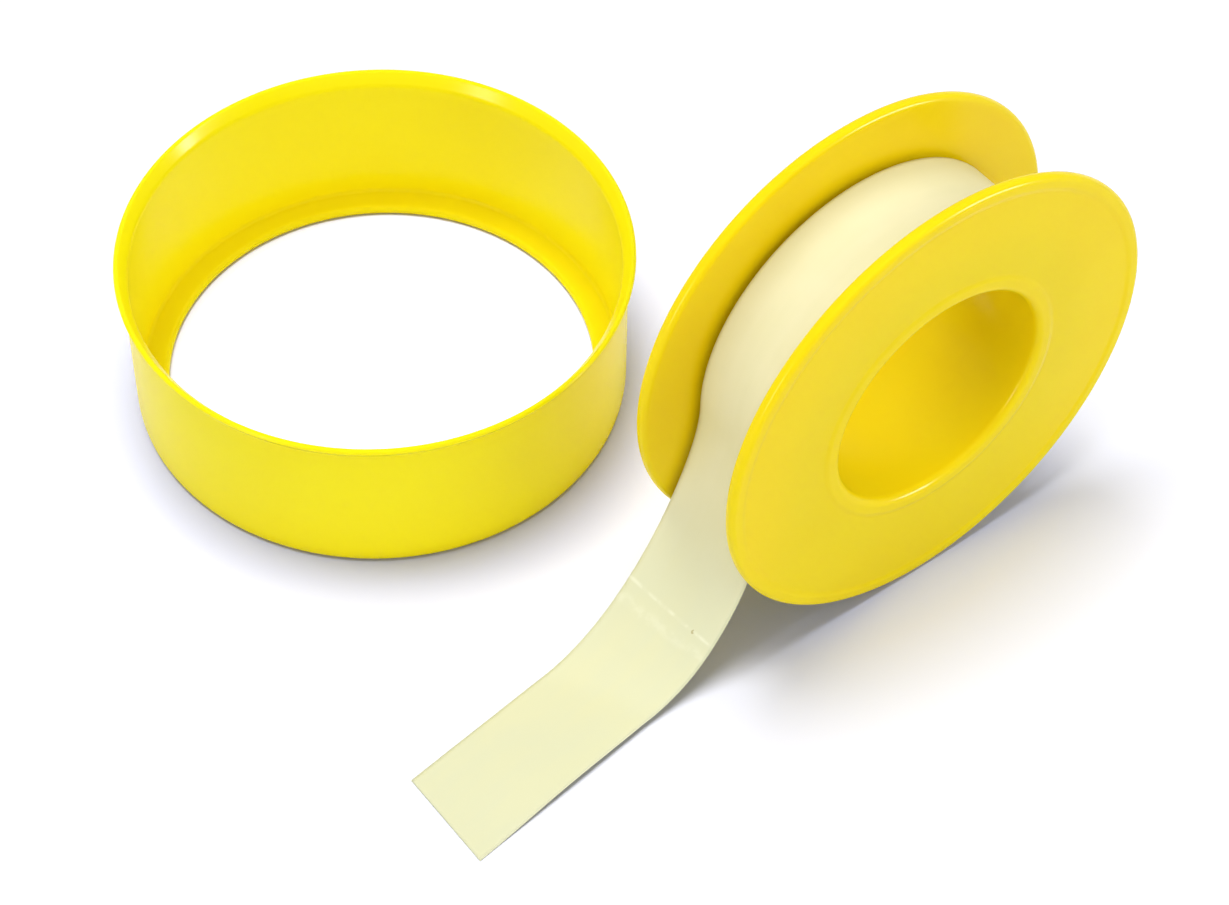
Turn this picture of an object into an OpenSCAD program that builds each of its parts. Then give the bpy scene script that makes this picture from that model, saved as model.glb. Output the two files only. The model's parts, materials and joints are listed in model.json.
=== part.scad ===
// Thread seal tape: a flanged spool standing on its rims, the tape wound on it
// with its free end drawn out over the table, and the cover ring taken off beside it.
// The spool's axis runs along Y, the front flange faces -Y and the table is at z = 0.
// The front flange is the wider one, so the spool leans back a little.

/* [Spool] */
// Outside diameter of the rear flange, over which the cover ring slips
flange_d = 53.3; // [48:0.1:64]
// How much wider the front flange is, so that it closes the cover ring's mouth
cap_extra = 0.8; // [0.4:0.1:1.2]
// Thickness of each flange
flange_t = 1.4; // [1.2:0.1:1.5]
// Width of the spool over both flanges
spool_w = 16.3; // [16.2:0.1:18]
// Diameter of the bore through the hub
bore_d = 26.2; // [20:0.1:28]
// Wall of the hub tube
hub_wall = 1.2; // [0.9:0.1:1.8]
// Rounding of the flange rims
rim_round = 0.6; // [0.3:0.05:0.6]
// Rounding of the two mouths of the bore
mouth_round = 0.8; // [0.3:0.1:1]
// Width of the raised land along each flange's rim
rim_land = 1.3; // [0.9:0.1:3]
// Width of the raised collar round each mouth of the bore
collar_land = 1.6; // [1.2:0.1:3]
// Depth of the shallow face between the land and the collar
face_recess = 0.15; // [0.1:0.05:0.4]

/* [Tape] */
// Width of the tape
tape_w = 12; // [10:0.1:12]
// Thickness of the film
film_t = 0.1; // [0.08:0.01:0.2]
// Diameter of the roll over its outer turn
roll_d = 39.8; // [34:0.1:44]
// Play between the outer turn and the turns beneath it
turn_play = 0.15; // [0.12:0.01:0.3]
// Angle that the outer turn goes round before it leaves the roll
turn_sweep = 345; // [330:1:350]

/* [Free end] */
// Distance from the spool's axis to the cut end
tail_reach = 59.9; // [52:0.1:90]
// Distance from the axis at which the back edge comes down on the table
touch_back = 42; // [36:0.1:50]
// Distance from the axis at which the front edge comes down on the table
touch_front = 36.8; // [36:0.1:50]
// Length over which the film still follows the roll as it leaves
leave_pull = 8.7; // [3:0.1:9]
// Length over which the film eases on to the table
land_pull = 12.8; // [8:0.1:16]
// Slope of the free end's drift towards the front
drift_slope = 0.135; // [0:0.005:0.14]
// Distance from the axis at which the drift begins
drift_from = 20.9; // [20:0.1:36]

/* [Cover ring] */
// Radial play between the cover ring and the rear flange
cover_play = 0.1; // [0.05:0.01:0.3]
// Wall of the cover ring
cover_wall = 0.65; // [0.6:0.05:1]
// Height of the cover ring
cover_h = 19.4; // [18.5:0.1:24]
// Bend radius between the wall and the flared mouth
flare_r = 1; // [0.8:0.1:1.5]
// Angle that the mouth flares out from the wall
flare_angle = 33; // [30:1:36]
// How far the mouth's edge stands out from the wall
flare_out = 0.8; // [0.7:0.05:1]
// Width of the lip that turns in at the base
lip_w = 3; // [1.5:0.05:4]
// Thickness of the lip
lip_t = 1.1; // [0.8:0.05:1.4]
// Rounding between the wall and the lip, inside the ring
corner_round = 0.5; // [0.4:0.1:1.8]
// Rounding at the foot of the wall, outside the ring
foot_round = 0.8; // [0.4:0.05:1]
// Place of the ring's centre, measured from the spool along X
cover_x = -30.7; // [-40:0.1:-20]
// Place of the ring's centre, measured from the spool along Y
cover_y = 48.7; // [47:0.1:70]

/* [Hidden] */
yellow = "#EFD81E";
cream = "#F4EFBC";
$fn = 180;

// Spool sizes: it stands on both rims, and so it leans
flange_r = flange_d / 2;
cap_r = flange_r + cap_extra / 2;
bore_r = bore_d / 2;
hub_r = bore_r + hub_wall;
half_w = spool_w / 2;
root_round = 0.6;
step_run = 0.5;
lean = atan((cap_r - flange_r) / (spool_w - flange_t));
axis_h = rim_round + (flange_r - rim_round) * cos(lean) + (half_w - rim_round) * sin(lean);

// Roll sizes: the outer turn lies just clear of the wound turns beneath it
turn_in_r = roll_d / 2 - film_t;
wound_r = turn_in_r - turn_play;

// Ring sizes: the rear flange slides inside its wall
cover_in_r = flange_r + cover_play;
cover_out_r = cover_in_r + cover_wall;
edge_round = cover_wall / 2;
flare_mid_r = flare_r + edge_round;
flare_run = (flare_out - flare_mid_r * (1 - cos(flare_angle))) / sin(flare_angle);
edge_at = [cover_out_r - edge_round + flare_out, cover_h - edge_round];
flare_z = edge_at[1] - flare_run * cos(flare_angle) - flare_mid_r * sin(flare_angle);
rim_r = edge_at[0] + edge_round;

// The origin is the middle of the whole group's footprint
drift_ease = 4;
function drift(x) = let (
    run = max(0, -x - drift_from)
) drift_slope * run * run / (run + drift_ease);
low_x = min(-tail_reach, cover_x - rim_r);
high_x = max(cap_r, cover_x + rim_r);
low_y = min(-half_w * cos(lean) - cap_r * sin(lean), -tape_w / 2 - drift(-tail_reach));
high_y = cover_y + rim_r;
spool_at = [-(low_x + high_x) / 2, -(low_y + high_y) / 2, axis_h];
cover_at = [spool_at[0] + cover_x, spool_at[1] + cover_y, 0];

// Points of an arc about c, from angle a0 to angle a1
function arc(c, r, a0, a1, n = 8) = [
    for (i = [0 : n]) let (a = a0 + (a1 - a0) * i / n) c + r * [cos(a), sin(a)]
];

// Half of the spool's section, out over a flange of radius r and back to the hub:
// [radius, distance along the axis]
function half_spool(r) = concat(
    arc([bore_r + mouth_round, half_w - mouth_round], mouth_round, 180, 90),
    [[bore_r + collar_land, half_w]],
    [[bore_r + collar_land + step_run, half_w - face_recess]],
    [[r - rim_land - step_run, half_w - face_recess]],
    [[r - rim_land, half_w]],
    arc([r - rim_round, half_w - rim_round], rim_round, 90, 0),
    arc([r - rim_round, half_w - flange_t + rim_round], rim_round, 0, -90),
    arc([hub_r + root_round, half_w - flange_t - root_round], root_round, 90, 180)
);
function mirrored(points) = [for (i = [len(points) - 1 : -1 : 0]) [points[i][0], -points[i][1]]];

// Puts what is drawn along Z on the spool's leaning axis, with its top at the front
module on_axis() {
    translate(spool_at)
        rotate([90 - lean, 0, 0])
            children();
}

// One moulding: the hub tube and its two flanges
module spool() {
    color(yellow)
        on_axis()
            rotate_extrude()
                polygon(concat(half_spool(cap_r), mirrored(half_spool(flange_r))));
}

// The turns beneath the outer one, wound tight on the hub
module wound_tape() {
    color(cream)
        on_axis()
            difference() {
                cylinder(h = tape_w, r = wound_r, center = true);
                cylinder(h = tape_w + 2, r = hub_r, center = true);
            }
}

// The strip: the outer turn, the hanging stretch and the stretch on the table
turn_steps = 46;
hang_steps = 22;
table_steps = 6;
leave_angle = 180;

// Under face of one edge of the strip: [x, z] from the spool's middle, the outward normal,
// and the share of the spool's lean, which fades out on the way to the table
function turn_point(i) = let (
    a = leave_angle - turn_sweep * (1 - i / turn_steps),
    n = [cos(a), sin(a)]
) [turn_in_r * n, n, 1];
function hang_points(touch) = [
    [-turn_in_r, 0],
    [-turn_in_r, -leave_pull],
    [land_pull - touch, -axis_h],
    [-touch, -axis_h]
];
function mix(a, b, t) = (1 - t) * a + t * b;
function quadratic(a, b, c, t) = mix(mix(a, b, t), mix(b, c, t), t);
function bezier(p, t) = mix(quadratic(p[0], p[1], p[2], t), quadratic(p[1], p[2], p[3], t), t);
function bezier_run(p, t) = quadratic(p[1] - p[0], p[2] - p[1], p[3] - p[2], t);
function hang_point(i, touch) = let (
    p = hang_points(touch),
    t = i / hang_steps,
    run = bezier_run(p, t)
) [bezier(p, t), [run[1], -run[0]] / norm(run), 1 - t];
function table_point(i, touch) = [
    [-touch - (tail_reach - touch) * i / table_steps, -axis_h],
    [0, 1],
    0
];
function edge(touch) = concat(
    [for (i = [0 : turn_steps]) turn_point(i)],
    [for (i = [1 : hang_steps]) hang_point(i, touch)],
    [for (i = [1 : table_steps]) table_point(i, touch)]
);
back_edge = edge(touch_back);
front_edge = edge(touch_front);
sections = len(back_edge);

// Point of the strip: side is 1 at the back and -1 at the front, lift is the height through the film
function leaned(p, a) = [p[0], p[1] * cos(a) + p[2] * sin(a), p[2] * cos(a) - p[1] * sin(a)];
function strip_point(e, side, lift) = let (
    p = e[0] + lift * e[1]
) leaned([p[0], side * tape_w / 2 - drift(e[0][0]), p[1]], lean * e[2]);
strip_points = [
    for (i = [0 : sections - 1]) each [
        strip_point(back_edge[i], 1, 0),
        strip_point(back_edge[i], 1, film_t),
        strip_point(front_edge[i], -1, film_t),
        strip_point(front_edge[i], -1, 0)
    ]
];
// Both broad faces are split along the same diagonal, so the film keeps its thickness where it twists
function split(a, b, c, d, crossed) = crossed ? [[a, b, d], [b, c, d]] : [[a, b, c], [a, c, d]];
under_side = 3;
last = 4 * (sections - 1);
strip_faces = concat(
    [[2, 1, 0], [3, 2, 0]],
    [
        for (i = [0 : sections - 2], k = [0 : 3]) let (
            a = 4 * i + k,
            b = 4 * i + (k + 1) % 4
        ) each split(a, b, b + 4, a + 4, k == under_side)
    ],
    [[last, last + 1, last + 2], [last, last + 2, last + 3]]
);

// Least gap of the strip to itself, measured where the stretches are a quarter turn or more apart
apart = 12;
strip_gap = min([
    for (i = [0 : sections - 1], j = [i + apart : 1 : sections - 1])
        norm(back_edge[i][0] - back_edge[j][0]) - film_t
]);
echo(strip_gap = strip_gap);

module tape_tail() {
    color(cream)
        translate(spool_at)
            polyhedron(strip_points, strip_faces, convexity = 6);
}

// Section of the cover ring: [radius, height], round the lip, up the wall and over the mouth
function cover_section() = let (
    lip_round = lip_t / 2,
    lip_at = [cover_in_r - lip_w + lip_round, lip_round],
    bend_at = [cover_out_r + flare_r, flare_z],
    bend_end = 180 - flare_angle
) concat(
    arc(lip_at, lip_round, 90, 270),
    arc([cover_out_r - foot_round, foot_round], foot_round, -90, 0),
    arc(bend_at, flare_r, 180, bend_end),
    arc(edge_at, edge_round, bend_end + 180, bend_end + 360),
    arc(bend_at, flare_r + cover_wall, bend_end, 180),
    arc([cover_in_r - corner_round, lip_t + corner_round], corner_round, 0, -90)
);

// Cover that slips over the rear flange until the front flange lies in its flared mouth
module cover_ring() {
    color(yellow)
        translate(cover_at)
            rotate_extrude()
                polygon(cover_section());
}

spool();
wound_tape();
tape_tail();
cover_ring();
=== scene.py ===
"""Looks of a roll of thread seal tape with its cover ring taken off.

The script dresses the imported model: a moulded spool, the film wound on it, the strip that
runs off the roll on to the table, and the cover ring. All lengths are in metres.
"""

import json
import math

import bpy
from bpy.props import FloatProperty, FloatVectorProperty, IntProperty, PointerProperty
from bpy.types import Operator, Panel, PropertyGroup
from mathutils import Matrix, Vector, noise


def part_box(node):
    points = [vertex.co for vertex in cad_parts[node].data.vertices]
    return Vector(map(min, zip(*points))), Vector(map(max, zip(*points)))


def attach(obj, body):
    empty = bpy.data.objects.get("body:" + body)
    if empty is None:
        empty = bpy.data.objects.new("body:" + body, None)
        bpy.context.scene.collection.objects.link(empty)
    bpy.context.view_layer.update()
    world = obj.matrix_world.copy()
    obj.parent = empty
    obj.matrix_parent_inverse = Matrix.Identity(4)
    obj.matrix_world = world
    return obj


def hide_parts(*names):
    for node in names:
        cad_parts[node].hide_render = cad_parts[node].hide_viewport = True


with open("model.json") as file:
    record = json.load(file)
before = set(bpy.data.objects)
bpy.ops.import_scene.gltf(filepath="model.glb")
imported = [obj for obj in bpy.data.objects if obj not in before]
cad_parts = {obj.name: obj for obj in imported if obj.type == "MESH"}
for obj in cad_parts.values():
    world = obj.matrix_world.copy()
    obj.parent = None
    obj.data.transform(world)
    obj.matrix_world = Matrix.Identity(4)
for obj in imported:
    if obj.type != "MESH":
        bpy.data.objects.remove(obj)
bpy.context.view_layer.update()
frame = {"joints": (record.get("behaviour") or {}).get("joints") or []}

bl_info = {
    "name": "Thread seal tape roll",
    "version": (1, 0, 0),
    "blender": (4, 5, 0),
    "location": "3D View > Sidebar > Seal tape",
    "description": "Builds the spool, wound film, free end and cover ring of a tape roll",
    "category": "Object",
}

# The spool's middle and axis come from its joint, the ring's place from its node
SPIN = next(j for j in frame["joints"] if j["name"] == "spool_spin")
SPOOL_MIDDLE = Vector(SPIN["pos_m"])
SPOOL_REAR = Vector(SPIN["axis"]).normalized()
COVER_LOW, COVER_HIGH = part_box("cover_ring")
COVER_FOOT = Vector(
    ((COVER_LOW.x + COVER_HIGH.x) / 2, (COVER_LOW.y + COVER_HIGH.y) / 2, 0)
)

MM = 0.001
FILLET_STEPS = 6


def length(name, description, millimetres):
    """A size in metres, given in millimetres."""
    return FloatProperty(
        name=name,
        description=description,
        default=millimetres * MM,
        min=0,
        precision=5,
        unit="LENGTH",
    )


def tint(name, description, red, green, blue):
    """A colour in linear light."""
    return FloatVectorProperty(
        name=name,
        description=description,
        default=(red, green, blue),
        size=3,
        min=0,
        max=1,
        subtype="COLOR",
    )


def share(name, description, value):
    """A number from 0 to 1."""
    return FloatProperty(
        name=name, description=description, default=value, min=0, max=1, subtype="FACTOR"
    )


def level(name, description, value):
    """A light's level on a white surface that faces it."""
    return FloatProperty(name=name, description=description, default=value, min=0)


class SpoolSizes(PropertyGroup):
    """Sizes of the moulded spool."""

    rear_radius: length("Rear flange", "Radius of the rear flange", 26.65)
    front_radius: length("Front flange", "Radius of the wider front flange", 27.05)
    flange: length("Flange", "Thickness of each flange", 1.4)
    width: length("Width", "Width over both flanges", 16.3)
    bore: length("Bore", "Radius of the bore", 13.1)
    hub_wall: length("Hub wall", "Wall of the hub tube", 1.2)
    rim_round: length("Rim round", "Rounding of the flange rims", 0.6)
    mouth_round: length("Mouth round", "Rounding of the bore's mouths", 0.8)
    rim_land: length("Rim land", "Width of the raised land along the rims", 1.3)
    collar: length("Collar", "Width of the raised collar round the bore", 1.6)
    recess: length("Recess", "Depth of the face between land and collar", 0.15)
    step_run: length("Step", "Run of the slope down to that face", 0.5)
    step_round: length("Step round", "Rounding of that slope's edges", 1.2)
    root_round: length("Root round", "Fillet between hub and flanges", 0.6)
    segments: IntProperty(
        name="Segments", description="Steps round the spool", default=224, min=24
    )


class TapeSizes(PropertyGroup):
    """Sizes of the film on the roll and of its free end."""

    width: length("Width", "Width of the film", 12)
    film: length("Film", "Thickness of the film", 0.1)
    roll_radius: length("Roll", "Radius of the roll over its outer turn", 19.9)
    turn_play: length("Play", "Play under the outer turn", 0.15)
    turn_sweep: FloatProperty(
        name="Sweep",
        description="Angle of the outer turn",
        default=math.radians(345),
        subtype="ANGLE",
    )
    reach: length("Reach", "Distance from the axis to the cut end", 59.9)
    touch_back: length("Back edge down", "Distance at which the back edge lands", 42)
    touch_front: length("Front edge down", "Distance at which the front edge lands", 36.8)
    leave_pull: length("Leaving", "Stretch that still follows the roll", 8.7)
    land_pull: length("Landing", "Stretch that eases on to the table", 12.8)
    drift_slope: FloatProperty(
        name="Drift", description="Slope of the drift to the front", default=0.135
    )
    drift_from: length("Drift start", "Distance at which the drift begins", 20.9)
    drift_ease: length("Drift ease", "Length over which the drift sets in", 4)
    front_lift: length("Front lift", "Rise of the front edge off the table", 0.7)
    ripple: length("Ripple", "Height of the slack in the free end", 0.06)
    layer: length("Layer", "Spacing of the layer edges on the roll's sides", 0.2)
    layer_step: length("Layer step", "Unevenness of the layer edges", 0.07)


class CoverSizes(PropertyGroup):
    """Sizes of the cover ring."""

    inside: length("Inside", "Radius inside the wall", 26.75)
    wall: length("Wall", "Thickness of the wall", 0.65)
    height: length("Height", "Height of the ring", 19.4)
    flare_bend: length("Flare bend", "Bend radius between wall and flared mouth", 1)
    flare_angle: FloatProperty(
        name="Flare",
        description="Angle that the mouth flares out",
        default=math.radians(33),
        subtype="ANGLE",
    )
    flare_out: length("Flare width", "How far the mouth's edge stands out from the wall", 0.8)
    lip_width: length("Lip width", "Width of the lip at the base", 3)
    lip: length("Lip", "Thickness of the lip", 1.1)
    corner_round: length("Corner round", "Rounding between wall and lip, inside", 0.5)
    foot_round: length("Foot round", "Rounding at the foot of the wall, outside", 0.8)
    segments: IntProperty(
        name="Segments", description="Steps round the ring", default=224, min=24
    )


class Finishes(PropertyGroup):
    """Colours and gloss of the mouldings and the film."""

    spool_yellow: tint("Spool", "Yellow of the spool", 0.895, 0.685, 0.005)
    spool_deep: tint("Spool, deep", "Deeper yellow in the spool's flow marks", 0.885, 0.665, 0.004)
    cover_yellow: tint("Cover", "Yellow of the cover ring", 0.955, 0.765, 0.006)
    cover_deep: tint("Cover, deep", "Deeper yellow in the ring's flow marks", 0.945, 0.745, 0.005)
    roll_cream: tint("Wound film", "Cream of the film over many layers", 0.84, 0.81, 0.54)
    film_cream: tint("Free film", "Cream of one layer of film", 0.7, 0.705, 0.47)
    film_warm: tint("Streaks", "Warmer cream along the film's streaks", 0.75, 0.73, 0.43)
    fold_white: tint("Folds", "Whitened film along the fold marks", 0.88, 0.88, 0.68)
    dust: tint("Dust", "Specks on the film", 0.42, 0.36, 0.14)
    plastic_rough: share("Moulding roughness", "Roughness of the mouldings", 0.21)
    film_rough: share("Film roughness", "Roughness of the film", 0.42)
    spool_glow: share("Spool glow", "Share of light that spreads inside the spool", 0.5)
    cover_glow: share("Cover glow", "Share of light that spreads inside the ring's wall", 0.85)


class StageSettings(PropertyGroup):
    """Floor, lights and camera."""

    floor_size: length("Floor", "Side of the floor", 6000)
    floor_white: share("Floor white", "Whiteness of the floor in the light it gives back", 0.7)
    floor_seen: FloatVectorProperty(
        name="Floor as seen",
        description="Whiteness of the floor as the camera sees it",
        default=(0.812, 0.825, 0.91),
        size=3,
    )
    # Painted colour under the spool: less red and more blue than the rest of the floor, to cancel
    # the yellow light that the spool reflects on to it
    floor_painted_by_spool: FloatVectorProperty(
        name="Floor under the spool",
        description="The same near the spool, with the spool's yellow reflection evened out",
        default=(0.745, 0.82, 1.22),
        size=3,
    )
    # Painted shade round the cover ring: darker than the rest of the floor, to deepen the ring's
    # shadow, and bluer, to cancel the yellow light that the ring reflects on to it
    floor_painted_shade_by_ring: FloatVectorProperty(
        name="Floor round the ring",
        description="The same near the cover ring",
        default=(0.7, 0.745, 1.03),
        size=3,
    )
    # Painted light inside the cover ring: brighter than the rest of the floor, so that the shade
    # and yellow reflection inside the ring turn white
    floor_painted_light_in_ring: FloatVectorProperty(
        name="Floor in the ring",
        description="The same inside the cover ring",
        default=(0.92, 0.98, 1.3),
        size=3,
    )
    sky: level("Sky", "Level of the even light from all round", 0.41)
    key: level("Key", "Level of the soft light overhead on the left", 0.4)
    top: level("Top", "Level of the soft light straight overhead", 0.18)
    left: level("Left", "Level of the soft light on the left", 0.22)
    front: level("Front", "Level of the wide light over the camera", 0.16)
    right: level("Right", "Level of the soft light on the right", 0.27)
    overhead: level("Floor light", "Level of the soft light over the floor", 0.98)
    pane: level("Panes", "Brightness of the window panes that the mouldings reflect", 70.0)
    lens: FloatProperty(
        name="Lens", description="Focal length in millimetres", default=97.343
    )
    camera_at: FloatVectorProperty(
        name="Camera",
        description="Place of the camera",
        default=(-0.144427, -0.192601, 0.283077),
        subtype="TRANSLATION",
    )
    look_at: FloatVectorProperty(
        name="Looks at",
        description="Point that the camera looks at",
        default=(-0.000667, -0.009628, 0),
        subtype="TRANSLATION",
    )
    camera_roll: FloatProperty(
        name="Roll",
        description="Turn of the camera about its view",
        default=math.radians(1.303),
        subtype="ANGLE",
    )


# Outlines


def arc(centre, radius, start, end, steps=FILLET_STEPS):
    """Points on an arc, from the start angle to the end angle."""
    points = []
    for i in range(steps + 1):
        a = start + (end - start) * i / steps
        points.append(
            Vector((centre[0] + radius * math.cos(a), centre[1] + radius * math.sin(a)))
        )
    return points


def fillet(before, corner, after, radius, steps=FILLET_STEPS):
    """The arc that rounds one corner of an outline."""
    to_before = (before - corner).normalized()
    to_after = (after - corner).normalized()
    half = math.acos(max(-1, min(1, to_before.dot(to_after)))) / 2
    run = radius / math.tan(half)
    middle = corner + (to_before + to_after).normalized() * radius / math.sin(half)
    first = corner + to_before * run - middle
    last = corner + to_after * run - middle
    a0 = math.atan2(first.y, first.x)
    turn = math.atan2(last.y, last.x) - a0
    turn -= math.tau * round(turn / math.tau)
    return arc(middle, radius, a0, a0 + turn, steps)


def rounded(corners):
    """A closed outline from corners that each name their rounding."""
    outline = []
    for i, (x, y, radius) in enumerate(corners):
        before = Vector(corners[i - 1][:2])
        after = Vector(corners[(i + 1) % len(corners)][:2])
        outline += fillet(before, Vector((x, y)), after, radius)
    return outline


def braced(outline, hold=0.12 * MM, longest=1.5 * MM):
    """The outline with points near both ends of each long run, so that flat runs shade flat."""
    points = []
    for i, p in enumerate(outline):
        q = outline[(i + 1) % len(outline)]
        run = (q - p).length
        points.append(p)
        if run < 4 * hold:
            continue
        inner = run - 2 * hold
        steps = max(1, math.ceil(inner / longest))
        for k in range(steps + 1):
            points.append(p.lerp(q, (hold + inner * k / steps) / run))
    return points


# Meshes


def new_piece(name, points, faces):
    """A smooth-shaded mesh object."""
    mesh = bpy.data.meshes.new(name)
    mesh.from_pydata(points, [], faces)
    mesh.validate()
    mesh.shade_smooth()
    piece = bpy.data.objects.new(name, mesh)
    bpy.context.scene.collection.objects.link(piece)
    return piece


def revolved(name, outline, segments):
    """A closed outline of radius and height, turned once round Z."""
    points = []
    for k in range(segments):
        a = math.tau * k / segments
        points += [(p.x * math.cos(a), p.x * math.sin(a), p.y) for p in outline]
    n = len(outline)
    faces = []
    for k in range(segments):
        here = k * n
        there = (k + 1) % segments * n
        for i in range(n):
            j = (i + 1) % n
            faces.append((here + i, here + j, there + j, there + i))
    return new_piece(name, points, faces)


def on_spool_axis(piece):
    """Puts a piece that was turned round Z on the spool's axis, with its top at the front."""
    front = -SPOOL_REAR
    side = Vector((1, 0, 0))
    up = front.cross(side)
    turn = Matrix((side, up, front)).transposed()
    piece.matrix_world = Matrix.Translation(SPOOL_MIDDLE) @ turn.to_4x4()


def dressed(piece, body, node, material):
    """Gives a piece its finish and its body, and hides the node that it stands for."""
    piece.data.materials.append(material)
    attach(piece, body)
    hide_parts(node)


# Materials


def maths(tree, operation, first, second=None, third=None):
    """A Math node's result; numbers are set and sockets are linked."""
    node = tree.nodes.new("ShaderNodeMath")
    node.operation = operation
    for i, value in enumerate((first, second, third)):
        if value is None:
            continue
        if isinstance(value, (int, float)):
            node.inputs[i].default_value = value
        else:
            tree.links.new(value, node.inputs[i])
    return node.outputs[0]


def remapped(tree, value, low, high, to_low, to_high):
    """A value moved smoothly from one range to another."""
    node = tree.nodes.new("ShaderNodeMapRange")
    node.interpolation_type = "SMOOTHSTEP"
    tree.links.new(value, node.inputs["Value"])
    for name, number in zip(
        ("From Min", "From Max", "To Min", "To Max"), (low, high, to_low, to_high)
    ):
        node.inputs[name].default_value = number
    return node.outputs["Result"]


def mixed(tree, factor, first, second):
    """Two colours mixed; a colour is set and a socket is linked."""
    node = tree.nodes.new("ShaderNodeMix")
    node.data_type = "RGBA"
    tree.links.new(factor, node.inputs[0])
    for index, colour in ((6, first), (7, second)):
        if isinstance(colour, bpy.types.NodeSocket):
            tree.links.new(colour, node.inputs[index])
        else:
            node.inputs[index].default_value = (*colour, 1)
    return node.outputs[2]


def noise_of(tree, vector, scale, detail=2.0, roughness=0.5):
    """The value of a noise texture."""
    node = tree.nodes.new("ShaderNodeTexNoise")
    tree.links.new(vector, node.inputs["Vector"])
    if isinstance(scale, bpy.types.NodeSocket):
        tree.links.new(scale, node.inputs["Scale"])
    else:
        node.inputs["Scale"].default_value = scale
    node.inputs["Detail"].default_value = detail
    node.inputs["Roughness"].default_value = roughness
    return node.outputs["Fac"]


def new_group(name, inputs, outputs):
    """A shader node group with named value sockets, its tree and its two ends."""
    tree = bpy.data.node_groups.new(name, "ShaderNodeTree")
    for socket, kind, default in inputs:
        item = tree.interface.new_socket(socket, in_out="INPUT", socket_type=kind)
        if default is not None:
            item.default_value = default
    for socket in outputs:
        tree.interface.new_socket(socket, in_out="OUTPUT", socket_type="NodeSocketFloat")
    return tree, tree.nodes.new("NodeGroupInput"), tree.nodes.new("NodeGroupOutput")


def flow_marks_group():
    """Soft clouding and fine grain of an injection moulding."""
    name = "flow marks"
    if name in bpy.data.node_groups:
        return bpy.data.node_groups[name]
    tree, inside, outside = new_group(
        name,
        [
            ("Vector", "NodeSocketVector", None),
            ("Cloud Scale", "NodeSocketFloat", 70.0),
            ("Grain Scale", "NodeSocketFloat", 2600.0),
        ],
        ["Cloud", "Grain"],
    )
    where = inside.outputs["Vector"]
    cloud = noise_of(tree, where, inside.outputs["Cloud Scale"], 3.0, 0.55)
    grain = noise_of(tree, where, inside.outputs["Grain Scale"], 2.0, 0.6)
    tree.links.new(remapped(tree, cloud, 0.3, 0.7, 0, 1), outside.inputs["Cloud"])
    tree.links.new(grain, outside.inputs["Grain"])
    return tree


# Raggedness of the specks' outlines, as a share of their spacing
RAGGED = 0.12


def specks_group():
    """Scattered small specks of dust."""
    name = "specks"
    if name in bpy.data.node_groups:
        return bpy.data.node_groups[name]
    tree, inside, outside = new_group(
        name,
        [
            ("Vector", "NodeSocketVector", None),
            ("Scale", "NodeSocketFloat", 300.0),
            ("Size", "NodeSocketFloat", 0.06),
            ("Share", "NodeSocketFloat", 0.1),
        ],
        ["Mask"],
    )
    wobble = noise_of(tree, inside.outputs["Vector"], 4000.0, 1.0)
    cells = tree.nodes.new("ShaderNodeTexVoronoi")
    tree.links.new(inside.outputs["Vector"], cells.inputs["Vector"])
    tree.links.new(inside.outputs["Scale"], cells.inputs["Scale"])
    split = tree.nodes.new("ShaderNodeSeparateColor")
    tree.links.new(cells.outputs["Color"], split.inputs[0])
    chosen = maths(tree, "LESS_THAN", split.outputs[0], inside.outputs["Share"])
    ragged = maths(tree, "MULTIPLY_ADD", wobble, RAGGED, cells.outputs["Distance"])
    shrunk = maths(tree, "MULTIPLY", inside.outputs["Size"], split.outputs[1])
    near = maths(tree, "LESS_THAN", maths(tree, "SUBTRACT", ragged, RAGGED / 2), shrunk)
    tree.links.new(maths(tree, "MULTIPLY", chosen, near), outside.inputs["Mask"])
    return tree


def fold_mark_group():
    """A pale line across the film, at a place along it and with a slant."""
    name = "fold mark"
    if name in bpy.data.node_groups:
        return bpy.data.node_groups[name]
    tree, inside, outside = new_group(
        name,
        [
            ("Across", "NodeSocketFloat", 0.0),
            ("Along", "NodeSocketFloat", 0.0),
            ("Place", "NodeSocketFloat", 0.0),
            ("Slant", "NodeSocketFloat", 0.0),
            ("Width", "NodeSocketFloat", 0.0005),
        ],
        ["Mask"],
    )
    pins = inside.outputs
    line = maths(tree, "MULTIPLY_ADD", pins["Across"], pins["Slant"], pins["Place"])
    off = maths(tree, "ABSOLUTE", maths(tree, "SUBTRACT", pins["Along"], line))
    near = maths(tree, "SUBTRACT", 1.0, maths(tree, "DIVIDE", off, pins["Width"]))
    tree.links.new(remapped(tree, near, 0, 1, 0, 1), outside.inputs["Mask"])
    return tree


def placed_group(tree, group, **values):
    """A group node in a material; numbers are set and sockets are linked."""
    node = tree.nodes.new("ShaderNodeGroup")
    node.node_tree = group
    for key, value in values.items():
        pin = node.inputs[key.replace("_", " ").title()]
        if isinstance(value, bpy.types.NodeSocket):
            tree.links.new(value, pin)
        else:
            pin.default_value = value
    return node.outputs


def new_material(name):
    """A material with its Principled BSDF."""
    material = bpy.data.materials.new(name)
    material.use_nodes = True
    return material, material.node_tree, material.node_tree.nodes["Principled BSDF"]


def bumped(tree, shader, height, strength, distance):
    """Small relief on a shader's surface."""
    bump = tree.nodes.new("ShaderNodeBump")
    bump.inputs["Strength"].default_value = strength
    bump.inputs["Distance"].default_value = distance
    tree.links.new(height, bump.inputs["Height"])
    tree.links.new(bump.outputs[0], shader.inputs["Normal"])


# Shade of the specks in the mouldings, and the change of roughness over their flow marks
SPECK_SHADE = 0.45
GLOSS_CHANGE = 0.03


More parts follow.
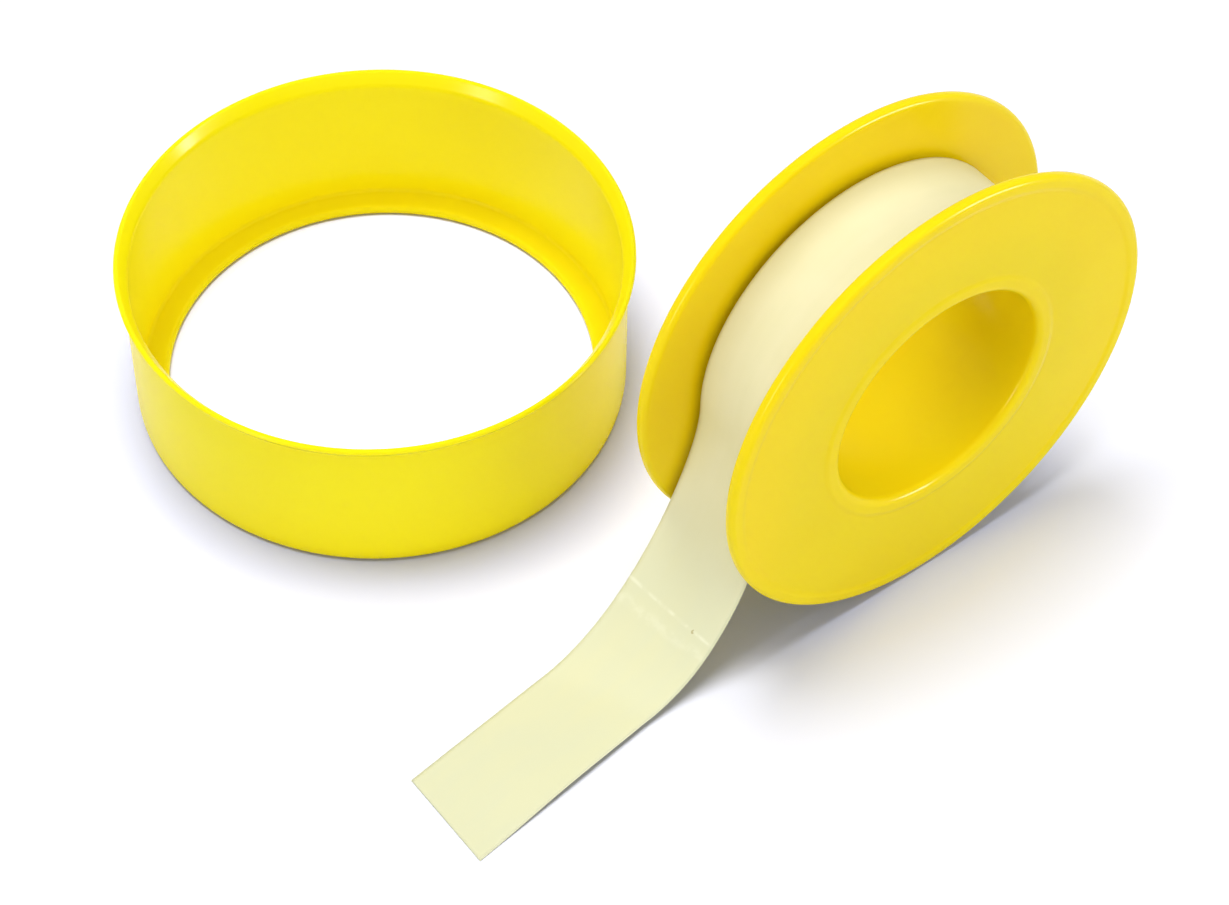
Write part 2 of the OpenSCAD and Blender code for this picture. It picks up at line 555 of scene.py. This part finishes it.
def moulding_material(name, colour, deep, roughness, glow, cloud_scale):
    """Smooth yellow plastic with soft flow marks, fine grain and a few specks."""
    material, tree, shader = new_material(name)
    where = tree.nodes.new("ShaderNodeTexCoord").outputs["Object"]
    marks = placed_group(tree, flow_marks_group(), vector=where, cloud_scale=cloud_scale)
    dust = placed_group(tree, specks_group(), vector=where, scale=190.0, size=0.05, share=0.05)
    clouded = mixed(tree, marks["Cloud"], deep, colour)
    specked = mixed(tree, dust["Mask"], clouded, [c * SPECK_SHADE for c in deep])
    tree.links.new(specked, shader.inputs["Base Color"])
    roughest = roughness + GLOSS_CHANGE / 2
    gloss = maths(tree, "MULTIPLY_ADD", marks["Cloud"], -GLOSS_CHANGE, roughest)
    tree.links.new(gloss, shader.inputs["Roughness"])
    bumped(tree, shader, marks["Grain"], 0.04, 0.02 * MM)
    shader.inputs["IOR"].default_value = 1.49
    shader.inputs["Specular IOR Level"].default_value = 0.13
    shader.inputs["Subsurface Weight"].default_value = glow
    shader.inputs["Subsurface Radius"].default_value = (1.0, 1.0, 0.3)
    shader.inputs["Subsurface Scale"].default_value = 2 * MM
    return material


# Fold marks on the free end: place along the film from where it leaves the roll, slant, width
# and strength
FOLD_MARKS = (
    (22.1 * MM, 0.19, 0.35 * MM, 0.9),
    (24.3 * MM, 0.15, 1.1 * MM, 0.4),
)
# Height of a fold's ridge, as a share of its width
FOLD_RIDGE = 0.03
# Stretch over which the film turns from the roll's cream to that of one layer
THINNING = (8 * MM, 24 * MM)
# Scales of the drawn streaks, of the clouds under them and of the breaks in the fold marks
STREAK_SCALE = 420.0
STREAK_STRETCH = 0.12
CLOUD_SCALE = 130.0
BREAK_SCALE = 700.0
# Change of roughness over the streaks, and how strongly the dust shows
STREAK_GLOSS = 0.1
DUST_SHOWS = 0.7


def film_material(finish):
    """Smooth waxy film: drawn streaks along it, whitened folds across it and a few specks."""
    material, tree, shader = new_material("cream film")
    flat = tree.nodes.new("ShaderNodeUVMap")
    flat.uv_map = "strip"
    split = tree.nodes.new("ShaderNodeSeparateXYZ")
    tree.links.new(flat.outputs[0], split.inputs[0])
    across, along = split.outputs[0], split.outputs[1]
    stretch = tree.nodes.new("ShaderNodeMapping")
    stretch.inputs["Scale"].default_value = (1, STREAK_STRETCH, 1)
    tree.links.new(flat.outputs[0], stretch.inputs["Vector"])
    streaks = noise_of(tree, stretch.outputs[0], STREAK_SCALE, 2.0, 0.55)
    clouds = noise_of(tree, flat.outputs[0], CLOUD_SCALE)
    tone = remapped(tree, maths(tree, "MULTIPLY_ADD", clouds, 1.3, streaks), 0.85, 1.45, 0.3, 0)
    free = remapped(tree, along, *THINNING, 0, 1)
    layered = mixed(tree, free, finish.roll_cream, finish.film_cream)
    colour = mixed(tree, tone, layered, finish.film_warm)
    breaks = noise_of(tree, flat.outputs[0], BREAK_SCALE)
    broken = remapped(tree, breaks, 0.4, 0.62, 0.1, 0.6)
    folds = None
    for place, slant, width, strength in FOLD_MARKS:
        mask = placed_group(
            tree,
            fold_mark_group(),
            across=across,
            along=along,
            place=place,
            slant=slant,
            width=width,
        )["Mask"]
        mask = maths(tree, "MULTIPLY", mask, strength)
        folds = mask if folds is None else maths(tree, "MAXIMUM", folds, mask)
    folds = maths(tree, "MULTIPLY", folds, broken)
    colour = mixed(tree, folds, colour, finish.fold_white)
    dust = placed_group(
        tree, specks_group(), vector=flat.outputs[0], scale=330.0, size=0.1, share=0.08
    )["Mask"]
    colour = mixed(tree, maths(tree, "MULTIPLY", dust, DUST_SHOWS), colour, finish.dust)
    tree.links.new(colour, shader.inputs["Base Color"])
    smoothest = finish.film_rough - STREAK_GLOSS / 2
    rough = maths(tree, "MULTIPLY_ADD", streaks, STREAK_GLOSS, smoothest)
    tree.links.new(rough, shader.inputs["Roughness"])
    relief = maths(tree, "MULTIPLY_ADD", streaks, 0.5, clouds)
    bumped(tree, shader, relief, 0.15, 0.05 * MM)
    shader.inputs["IOR"].default_value = 1.36
    return material


def shared_film_material(finish):
    """The film's material, built once for the roll and the strip."""
    return bpy.data.materials.get("cream film") or film_material(finish)


# Film


def smooth(value):
    """A number from 0 to 1 eased at both ends."""
    value = max(0.0, min(1.0, value))
    return value * value * (3 - 2 * value)


def bezier(points, t):
    """A point on a curve, found by mixing its control points down to one."""
    while len(points) > 1:
        points = [a.lerp(b, t) for a, b in zip(points, points[1:])]
    return points[0]


# Steps along the outer turn, the hanging stretch and the stretch on the table, and across the film
TURN_STEPS = 230
HANG_STEPS = 170
TABLE_STEPS = 70
ACROSS_STEPS = 28
# Angle at which the film leaves the roll
LEAVE_ANGLE = math.pi
# The outer turn's start closes most of its play, over this angle
TUCK_ANGLE = math.radians(80)
TUCK_SHARE = 0.9


def strip_edge(tape, touch):
    """One edge's run, as points [x, z] from the spool's middle with their share of its lean."""
    inner = tape.roll_radius - tape.film
    table = -SPOOL_MIDDLE.z
    edge = []
    for i in range(TURN_STEPS + 1):
        swept = tape.turn_sweep * i / TURN_STEPS
        a = LEAVE_ANGLE - tape.turn_sweep + swept
        r = inner - tape.turn_play * TUCK_SHARE * (1 - smooth(swept / TUCK_ANGLE))
        edge.append((Vector((r * math.cos(a), r * math.sin(a))), 1.0))
    hang = [
        Vector((-inner, 0)),
        Vector((-inner, -tape.leave_pull)),
        Vector((tape.land_pull - touch, table)),
        Vector((-touch, table)),
    ]
    for i in range(1, HANG_STEPS + 1):
        edge.append((bezier(hang, i / HANG_STEPS), 1 - i / HANG_STEPS))
    for i in range(1, TABLE_STEPS + 1):
        run = (tape.reach - touch) * i / TABLE_STEPS
        edge.append((Vector((-touch - run, table)), 0.0))
    return edge


def strip_grid(tape):
    """The film's under face as rows of points across it, with the length run by each row."""
    back = strip_edge(tape, tape.touch_back)
    front = strip_edge(tape, tape.touch_front)
    lean = math.atan2(-SPOOL_REAR.z, SPOOL_REAR.y)
    rows = []
    for (b, lean_share), (f, _) in zip(back, front):
        row = []
        for k in range(ACROSS_STEPS + 1):
            w = k / ACROSS_STEPS
            p = b.lerp(f, w)
            run = max(0.0, -p.x - tape.drift_from)
            y = tape.width * (0.5 - w) - tape.drift_slope * run * run / (run + tape.drift_ease)
            a = lean * lean_share
            row.append(
                SPOOL_MIDDLE
                + Vector(
                    (
                        p.x,
                        y * math.cos(a) + p.y * math.sin(a),
                        p.y * math.cos(a) - y * math.sin(a),
                    )
                )
            )
        rows.append(row)
    middle = ACROSS_STEPS // 2
    lengths = [0.0]
    for near, far in zip(rows, rows[1:]):
        lengths.append(lengths[-1] + (far[middle] - near[middle]).length)
    leaves_at = lengths[TURN_STEPS]
    return rows, [run - leaves_at for run in lengths]


def fold_rise(across, along):
    """Height of the fold marks' ridges."""
    rise = 0.0
    for place, slant, width, _ in FOLD_MARKS:
        off = abs(along - place - slant * across) / width
        rise += FOLD_RIDGE * width * smooth(1 - off)
    return rise


# Where the slack sets in, over what length, and the length that settles again at the cut end
SLACK_FROM = 12 * MM
SLACK_RUN = 20 * MM
SETTLED_END = 14 * MM
# Scale of the ripples across and along the film, and the place in the noise that they come from
RIPPLES_ACROSS = 90
RIPPLES_ALONG = 130
RIPPLE_PLACE = 3.1


def slack_rise(tape, across, along, end):
    """Height of the free end's slack: its front edge lifts and the film ripples a little."""
    free = smooth((along - SLACK_FROM) / SLACK_RUN)
    ends = smooth((end - along) / SETTLED_END)
    front = smooth(across / tape.width)
    wave = noise.noise(Vector((across * RIPPLES_ACROSS, along * RIPPLES_ALONG, RIPPLE_PLACE)))
    return free * (tape.front_lift * front * ends + tape.ripple * (0.5 + wave))


def film_strip(tape):
    """The strip as one closed thin sheet, with its flat layout as UVs."""
    rows, runs = strip_grid(tape)
    count = ACROSS_STEPS + 1
    under, over, layout = [], [], []
    for i, row in enumerate(rows):
        ahead = rows[min(i + 1, len(rows) - 1)]
        behind = rows[max(i - 1, 0)]
        for k, p in enumerate(row):
            along_way = ahead[k] - behind[k]
            across_way = row[min(k + 1, count - 1)] - row[max(k - 1, 0)]
            outward = along_way.cross(across_way).normalized()
            across = tape.width * k / ACROSS_STEPS
            rise = fold_rise(across, runs[i]) + slack_rise(tape, across, runs[i], runs[-1])
            low = p + outward * rise
            under.append(low)
            over.append(low + outward * tape.film)
            layout.append((across, runs[i]))
    points = under + over
    top = len(under)
    faces = []
    for i in range(len(rows) - 1):
        for k in range(ACROSS_STEPS):
            a = i * count + k
            b, c, d = a + 1, a + count + 1, a + count
            faces.append((a, b, c, d))
            faces.append((top + a, top + d, top + c, top + b))
    for i in range(len(rows) - 1):
        for k in (0, ACROSS_STEPS):
            a, d = i * count + k, (i + 1) * count + k
            side = (a, d, top + d, top + a)
            faces.append(side if k == 0 else side[::-1])
    for k in range(ACROSS_STEPS):
        for i in (0, len(rows) - 1):
            a, b = i * count + k, i * count + k + 1
            end = (a, top + a, top + b, b)
            faces.append(end if i == 0 else end[::-1])
    strip = new_piece("tape_strip", points, faces)
    lay_flat(strip, layout + layout)
    edges_sharp(strip, top)
    return strip, runs[-1] - runs[0]


def lay_flat(piece, layout):
    """Stores each point's place on the flat film as a UV map."""
    uv = piece.data.uv_layers.new(name="strip")
    for loop in piece.data.loops:
        uv.data[loop.index].uv = layout[loop.vertex_index]


def edges_sharp(piece, top):
    """Keeps the film's cut edges crisp: faces that join both sides of the film shade flat."""
    for face in piece.data.polygons:
        sides = {index < top for index in face.vertices}
        face.use_smooth = len(sides) == 1


# Pieces


def spool_outline(size):
    """Section of the spool, round from the front mouth of the bore: radius and distance."""
    half = size.width / 2
    hub = size.bore + size.hub_wall
    corners = []
    for radius, side in ((size.front_radius, 1), (size.rear_radius, -1)):
        face = half * side
        low = (half - size.recess) * side
        inner = (half - size.flange) * side
        run = [
            (size.bore, face, size.mouth_round),
            (size.bore + size.collar, face, size.step_round),
            (size.bore + size.collar + size.step_run, low, size.step_round),
            (radius - size.rim_land - size.step_run, low, size.step_round),
            (radius - size.rim_land, face, size.step_round),
            (radius, face, size.rim_round),
            (radius, inner, size.rim_round),
            (hub, inner, size.root_round),
        ]
        corners += run if side == 1 else run[::-1]
    return braced(rounded(corners))


# Steps of the ring's roundings that are seen most closely
BEND_STEPS = 12
EDGE_STEPS = 14
CORNER_STEPS = 10


def cover_outline(size):
    """Section of the cover ring, round from its lip: radius and height."""
    outside = size.inside + size.wall
    edge = size.wall / 2
    bend = size.flare_bend
    angle = size.flare_angle
    bend_end = math.pi - angle
    run = (size.flare_out - (bend + edge) * (1 - math.cos(angle))) / math.sin(angle)
    edge_at = Vector((outside - edge + size.flare_out, size.height - edge))
    bend_low = edge_at.y - run * math.cos(angle) - (bend + edge) * math.sin(angle)
    bend_at = (outside + bend, bend_low)
    lip_round = size.lip / 2
    lip_at = (size.inside - size.lip_width + lip_round, lip_round)
    foot, corner = size.foot_round, size.corner_round
    outline = arc(lip_at, lip_round, math.pi / 2, 1.5 * math.pi, BEND_STEPS)
    outline += arc((outside - foot, foot), foot, -math.pi / 2, 0)
    outline += arc(bend_at, bend, math.pi, bend_end, BEND_STEPS)
    mouth = arc(edge_at, edge, bend_end + math.pi, bend_end + math.tau, EDGE_STEPS)
    outline += mouth[1:-1]
    outline += arc(bend_at, bend + size.wall, bend_end, math.pi, BEND_STEPS)
    corner_at = (size.inside - corner, size.lip + corner)
    outline += arc(corner_at, corner, 0, -math.pi / 2, CORNER_STEPS)
    return braced(outline[::-1])


# The layers' edges on the roll's sides: rhythm of their unevenness, bevel and groove between them
LAYER_RHYTHM = 2.4
LAYER_BEVEL = 0.12
LAYER_GROOVE = 0.03 * MM


def roll_outline(spool, tape):
    """Section of the wound film: a smooth outside and sides made of layer edges."""
    hub = spool.bore + spool.hub_wall
    outer = tape.roll_radius - tape.film - tape.turn_play
    layers = int((outer - hub) / tape.layer)
    pitch = (outer - hub) / layers
    sides = []
    for side in (1, -1):
        run = []
        for i in range(layers):
            step = tape.layer_step * (0.5 + 0.5 * math.sin(LAYER_RHYTHM * i + side))
            edge = side * (tape.width / 2 - step)
            groove = side * (tape.width / 2 - tape.layer_step - LAYER_GROOVE)
            low = hub + pitch * i
            run.append(Vector((low + LAYER_BEVEL * pitch, edge)))
            run.append(Vector((low + (1 - LAYER_BEVEL) * pitch, edge)))
            if i < layers - 1:
                run.append(Vector((low + pitch, groove)))
        run = [Vector((hub, run[0].y))] + run + [Vector((outer, run[-1].y))]
        sides.append(run)
    return sides[0] + sides[1][::-1]


class SEALTAPE_OT_make_spool(Operator):
    """Builds the moulded spool"""

    bl_idname = "seal_tape.make_spool"
    bl_label = "Spool"

    def execute(self, context):
        size = context.scene.seal_tape_spool
        finish = context.scene.seal_tape_finish
        spool = revolved("spool_moulding", spool_outline(size), size.segments)
        on_spool_axis(spool)
        plastic = moulding_material(
            "spool yellow",
            finish.spool_yellow,
            finish.spool_deep,
            finish.plastic_rough,
            finish.spool_glow,
            cloud_scale=85.0,
        )
        dressed(spool, "spool", "spool", plastic)
        return {"FINISHED"}


class SEALTAPE_OT_make_roll(Operator):
    """Builds the wound film under the outer turn"""

    bl_idname = "seal_tape.make_roll"
    bl_label = "Wound film"

    def execute(self, context):
        spool = context.scene.seal_tape_spool
        tape = context.scene.seal_tape_film
        roll = revolved("wound_film", roll_outline(spool, tape), spool.segments)
        on_spool_axis(roll)
        layout = [
            (p.co.z + tape.width / 2, math.atan2(p.co.y, p.co.x) * tape.roll_radius)
            for p in roll.data.vertices
        ]
        lay_flat(roll, layout)
        film = shared_film_material(context.scene.seal_tape_finish)
        dressed(roll, "spool", "wound_tape", film)
        return {"FINISHED"}


class SEALTAPE_OT_make_strip(Operator):
    """Builds the outer turn and the free end as one strip of film"""

    bl_idname = "seal_tape.make_strip"
    bl_label = "Outer turn and free end"

    def execute(self, context):
        tape = context.scene.seal_tape_film
        strip, run = film_strip(tape)
        film = shared_film_material(context.scene.seal_tape_finish)
        dressed(strip, "tape", "tape_tail", film)
        return {"FINISHED"}


class SEALTAPE_OT_make_cover(Operator):
    """Builds the cover ring"""

    bl_idname = "seal_tape.make_cover"
    bl_label = "Cover ring"

    def execute(self, context):
        size = context.scene.seal_tape_cover
        finish = context.scene.seal_tape_finish
        cover = revolved("cover_moulding", cover_outline(size), size.segments)
        cover.matrix_world = Matrix.Translation(COVER_FOOT)
        plastic = moulding_material(
            "cover yellow",
            finish.cover_yellow,
            finish.cover_deep,
            finish.plastic_rough,
            finish.cover_glow,
            cloud_scale=60.0,
        )
        dressed(cover, "cover", "cover_ring", plastic)
        return {"FINISHED"}


# Stage


# Gap between the floor and the pieces
FLOOR_GAP = 0.02 * MM
# Weight of the distance along a moulding's axis
AXIS_WEIGHT = 2
# Distances from the two mouldings over which the floor's painted shade, painted light and painted
# colour fade out
BY_SPOOL = (28 * MM, 40 * MM)
BY_RING = (27 * MM, 38 * MM)
IN_RING = (22 * MM, 27 * MM)


def distance_from(tree, piece):
    """The distance from a moulding's origin, which goes with it when it moves."""
    where = tree.nodes.new("ShaderNodeTexCoord")
    where.object = piece
    weighted = tree.nodes.new("ShaderNodeVectorMath")
    weighted.operation = "MULTIPLY"
    weighted.inputs[1].default_value = (1, 1, AXIS_WEIGHT)
    tree.links.new(where.outputs["Object"], weighted.inputs[0])
    distance = tree.nodes.new("ShaderNodeVectorMath")
    distance.operation = "LENGTH"
    tree.links.new(weighted.outputs["Vector"], distance.inputs[0])
    return distance.outputs["Value"]


def make_floor(stage):
    """A white floor just under the pieces; to the camera its light parts are pure white. Near the
    mouldings its colour is painted: painted shade round the ring, painted light inside it, and a
    painted tint that cancels their yellow reflections.
    """
    spool = bpy.data.objects.get("spool_moulding")
    ring = bpy.data.objects.get("cover_moulding")
    if spool is None or ring is None:
        raise RuntimeError("the floor is evened round the spool and the ring, so they come first")
    half = stage.floor_size / 2
    sides = ((-half, -half), (half, -half), (half, half), (-half, half))
    floor = new_piece("floor", [(x, y, -FLOOR_GAP) for x, y in sides], [(0, 1, 2, 3)])
    material, tree, shader = new_material("white floor")
    from_spool = distance_from(tree, spool)
    from_ring = distance_from(tree, ring)
    # Masks for the painted floor colour: painted colour under the spool, painted shade round the
    # ring and painted light inside it
    by_spool = remapped(tree, from_spool, *BY_SPOOL, 1, 0)
    by_ring = remapped(tree, from_ring, *BY_RING, 1, 0)
    in_ring = remapped(tree, from_ring, *IN_RING, 1, 0)
    painted_floor = mixed(tree, by_spool, stage.floor_seen, stage.floor_painted_by_spool)
    painted_floor = mixed(tree, by_ring, painted_floor, stage.floor_painted_shade_by_ring)
    painted_floor = mixed(tree, in_ring, painted_floor, stage.floor_painted_light_in_ring)
    seen = tree.nodes.new("ShaderNodeLightPath").outputs["Is Camera Ray"]
    paper = mixed(tree, seen, [stage.floor_white] * 3, painted_floor)
    tree.links.new(paper, shader.inputs["Base Color"])
    shader.inputs["Roughness"].default_value = 0.9
    shader.inputs["Specular IOR Level"].default_value = 0.0
    floor.data.materials.append(material)
    return floor


def make_world(scene, stage):
    """Even light from all round, which the camera sees as white."""
    world = bpy.data.worlds.new("studio")
    scene.world = world
    world.use_nodes = True
    tree = world.node_tree
    sky = tree.nodes["Background"]
    sky.inputs["Color"].default_value = (1, 1, 1, 1)
    sky.inputs["Strength"].default_value = stage.sky
    backdrop = tree.nodes.new("ShaderNodeBackground")
    backdrop.inputs["Color"].default_value = (1, 1, 1, 1)
    path = tree.nodes.new("ShaderNodeLightPath")
    pick = tree.nodes.new("ShaderNodeMixShader")
    tree.links.new(path.outputs["Is Camera Ray"], pick.inputs[0])
    tree.links.new(sky.outputs[0], pick.inputs[1])
    tree.links.new(backdrop.outputs[0], pick.inputs[2])
    tree.links.new(pick.outputs[0], tree.nodes["World Output"].inputs["Surface"])


def seen_from_camera(stage):
    """The directions to the right of the view, away from the camera along the floor, and up."""
    away = Vector(stage.look_at) - Vector(stage.camera_at)
    away.z = 0
    away.normalize()
    up = Vector((0, 0, 1))
    return away.cross(up), away, up


# Height of the point that the lights face
AIM_HEIGHT = 20 * MM


def make_softbox(stage, name, direction, distance, size, light_level):
    """A soft light that gives a white surface facing it that level."""
    right, away, up = seen_from_camera(stage)
    toward = (right * direction[0] + away * direction[1] + up * direction[2]).normalized()
    lamp = bpy.data.lights.new(name, "AREA")
    lamp.shape = "RECTANGLE"
    lamp.size, lamp.size_y = size
    lamp.energy = light_level * math.pi**2 * distance**2
    light = bpy.data.objects.new(name, lamp)
    middle = Vector(stage.look_at) + Vector((0, 0, AIM_HEIGHT))
    light.location = middle + toward * distance
    light.rotation_euler = toward.to_track_quat("Z", "Y").to_euler()
    bpy.context.scene.collection.objects.link(light)
    return light


def reached(name, floor, state):
    """What a light reaches: the floor alone, or all but the floor."""
    reach = bpy.data.collections.new(name)
    reach.objects.link(floor)
    reach.collection_objects[0].light_linking.link_state = state
    return reach


# Soft boxes: setting, direction as seen from the camera, distance and side. The one overhead
# lights the floor alone, and stands far off so that it lights it evenly
SOFT_BOXES = (
    ("overhead", (-0.11, 0.09, 0.985), 8, 3.9),
    ("key", (-0.3, 0.3, 0.9), 1.6, 0.7),
    ("top", (0.1, -0.2, 0.97), 1.8, 0.8),
    ("left", (-0.72, -0.45, 0.52), 1.8, 1.0),
    ("front", (0.2, -0.64, 0.74), 1.8, 1.2),
    ("right", (0.75, -0.4, 0.52), 1.8, 1.0),
)
# Window panes: name, direction, width, height and share of the panes' brightness
PANES = (
    ("right pane", (0.95, -0.273, 0.3), 0.27, 0.36, 0.9),
    ("narrow right pane", (0.985, -0.104, 0.16), 0.11, 0.42, 1.0),
    ("left pane", (-0.67, -0.71, 0.25), 0.26, 0.42, 0.3),
)
PANE_DISTANCE = 1.5


def make_lights(stage, floor):
    """Soft boxes round the pieces, one over the floor, and window panes that only glint."""
    on_floor = reached("floor alone", floor, "INCLUDE")
    off_floor = reached("all but the floor", floor, "EXCLUDE")
    for setting, direction, distance, side in SOFT_BOXES:
        size = (side, side)
        light_level = getattr(stage, setting)
        box = make_softbox(stage, f"{setting} light", direction, distance, size, light_level)
        box.visible_glossy = False
        reach = on_floor if setting == "overhead" else off_floor
        box.light_linking.receiver_collection = reach
    for name, direction, width, height, brightness in PANES:
        spread = width * height / (math.pi * PANE_DISTANCE**2)
        light_level = stage.pane * brightness * spread
        pane = make_softbox(stage, name, direction, PANE_DISTANCE, (width, height), light_level)
        pane.visible_diffuse = False


def make_camera(scene, stage):
    """The photograph's viewpoint."""
    data = bpy.data.cameras.new("camera")
    data.sensor_fit = "HORIZONTAL"
    data.sensor_width = 36
    data.lens = stage.lens
    data.clip_start = 0.01
    camera = bpy.data.objects.new("camera", data)
    scene.collection.objects.link(camera)
    place = Vector(stage.camera_at)
    forward = (Vector(stage.look_at) - place).normalized()
    right = forward.cross(Vector((0, 0, 1))).normalized()
    up = right.cross(forward)
    turn = stage.camera_roll
    tilted_right = right * math.cos(turn) + up * math.sin(turn)
    tilted_up = up * math.cos(turn) - right * math.sin(turn)
    axes = Matrix((tilted_right, tilted_up, -forward)).transposed()
    camera.matrix_world = Matrix.Translation(place) @ axes.to_4x4()
    scene.camera = camera


class SEALTAPE_OT_make_stage(Operator):
    """Sets out the white floor, the soft lights and the camera"""

    bl_idname = "seal_tape.make_stage"
    bl_label = "Stage"

    def execute(self, context):
        stage = context.scene.seal_tape_stage
        context.scene.view_settings.view_transform = "Standard"
        floor = make_floor(stage)
        make_world(context.scene, stage)
        make_lights(stage, floor)
        make_camera(context.scene, stage)
        return {"FINISHED"}


class SEALTAPE_PT_pieces(Panel):
    """Lists the pieces and the stage with their sizes and finishes"""

    bl_idname = "SEALTAPE_PT_pieces"
    bl_label = "Seal tape roll"
    bl_space_type = "VIEW_3D"
    bl_region_type = "UI"
    bl_category = "Seal tape"

    def draw(self, context):
        for operator in OPERATORS:
            self.layout.operator(operator.bl_idname)
        for name in SETTINGS:
            box = self.layout.box()
            settings = getattr(context.scene, name)
            for key in settings.__annotations__:
                box.prop(settings, key)


OPERATORS = (
    SEALTAPE_OT_make_spool,
    SEALTAPE_OT_make_roll,
    SEALTAPE_OT_make_strip,
    SEALTAPE_OT_make_cover,
    SEALTAPE_OT_make_stage,
)
SETTINGS = {
    "seal_tape_spool": SpoolSizes,
    "seal_tape_film": TapeSizes,
    "seal_tape_cover": CoverSizes,
    "seal_tape_finish": Finishes,
    "seal_tape_stage": StageSettings,
}
CLASSES = (*SETTINGS.values(), *OPERATORS, SEALTAPE_PT_pieces)


def register():
    """Registers the classes and hangs the settings on the scene."""
    for cls in CLASSES:
        bpy.utils.register_class(cls)
    for name, cls in SETTINGS.items():
        setattr(bpy.types.Scene, name, PointerProperty(type=cls))


def unregister():
    """Takes the settings and the classes away again."""
    for name in SETTINGS:
        delattr(bpy.types.Scene, name)
    for cls in reversed(CLASSES):
        bpy.utils.unregister_class(cls)


def main():
    """Builds the pieces and the stage."""
    register()
    bpy.ops.seal_tape.make_spool()
    bpy.ops.seal_tape.make_roll()
    bpy.ops.seal_tape.make_strip()
    bpy.ops.seal_tape.make_cover()
    bpy.ops.seal_tape.make_stage()


if __name__ == "__main__":
    main()
